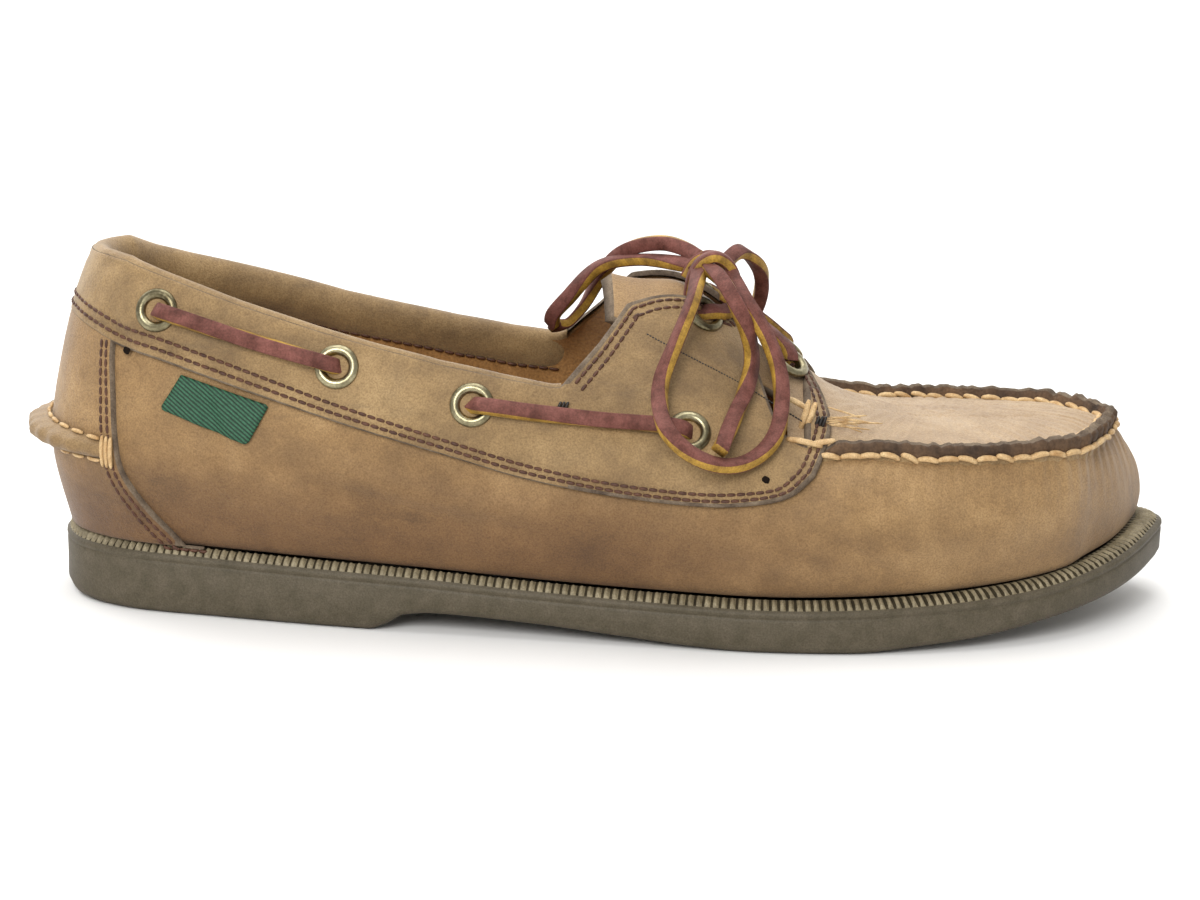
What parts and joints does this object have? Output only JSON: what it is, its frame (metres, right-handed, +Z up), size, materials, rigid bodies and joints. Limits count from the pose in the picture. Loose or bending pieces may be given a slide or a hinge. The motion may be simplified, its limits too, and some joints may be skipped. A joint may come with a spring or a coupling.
{
  "type": "boat shoe",
  "caption": "Right boat shoe: hollow leather moccasin upper on a moulded rubber sole, with collar overlays, eyelets, rawhide lace and bow.",
  "frame": {"origin": "on the floor, at the middle of the flat of the heel", "axes": "+X towards the toe, +Y towards the inner (medial) side, +Z up"},
  "size_m": [0.308, 0.1062, 0.0986],
  "materials": {
    "sole_rubber": "matt olive-brown moulded rubber",
    "insole_leather": "brown leather sock lining",
    "upper_leather": "tan oiled nubuck, cloudy",
    "tongue_leather": "pale tan nubuck",
    "overlay_leather": "tan oiled nubuck with grey raw edge",
    "label_fabric": "dark green woven tab, blank",
    "eyelet_brass": "antique brass, brushed",
    "lace_rawhide": "red-brown rawhide, mustard cut edges"
  },
  "bodies": {
    "root": {"outsole": "sole_rubber", "insole": "insole_leather", "upper": "upper_leather", "tongue": "tongue_leather", "quarter_overlay_lateral": "overlay_leather", "quarter_overlay_medial": "overlay_leather", "heel_counter": "upper_leather", "heel_lip": "overlay_leather", "label_tab": "label_fabric", "eyelet_lateral_collar_rear": "eyelet_brass", "eyelet_lateral_collar_middle": "eyelet_brass", "eyelet_lateral_collar_front": "eyelet_brass", "eyelet_lateral_side": "eyelet_brass", "eyelet_lateral_throat_rear": "eyelet_brass", "eyelet_lateral_throat_front": "eyelet_brass", "eyelet_medial_collar_rear": "eyelet_brass", "eyelet_medial_collar_middle": "eyelet_brass", "eyelet_medial_collar_front": "eyelet_brass", "eyelet_medial_side": "eyelet_brass", "eyelet_medial_throat_rear": "eyelet_brass", "eyelet_medial_throat_front": "eyelet_brass", "lace_bar_lateral_rear": "lace_rawhide", "lace_bar_lateral_front": "lace_rawhide", "lace_bar_medial_rear": "lace_rawhide", "lace_bar_medial_front": "lace_rawhide", "lace_cross": "lace_rawhide", "lace_knot": "lace_rawhide", "lace_loop_near": "lace_rawhide", "lace_end_near": "lace_rawhide", "lace_loop_far": "lace_rawhide", "lace_end_far": "lace_rawhide"}
  },
  "joints": []
}
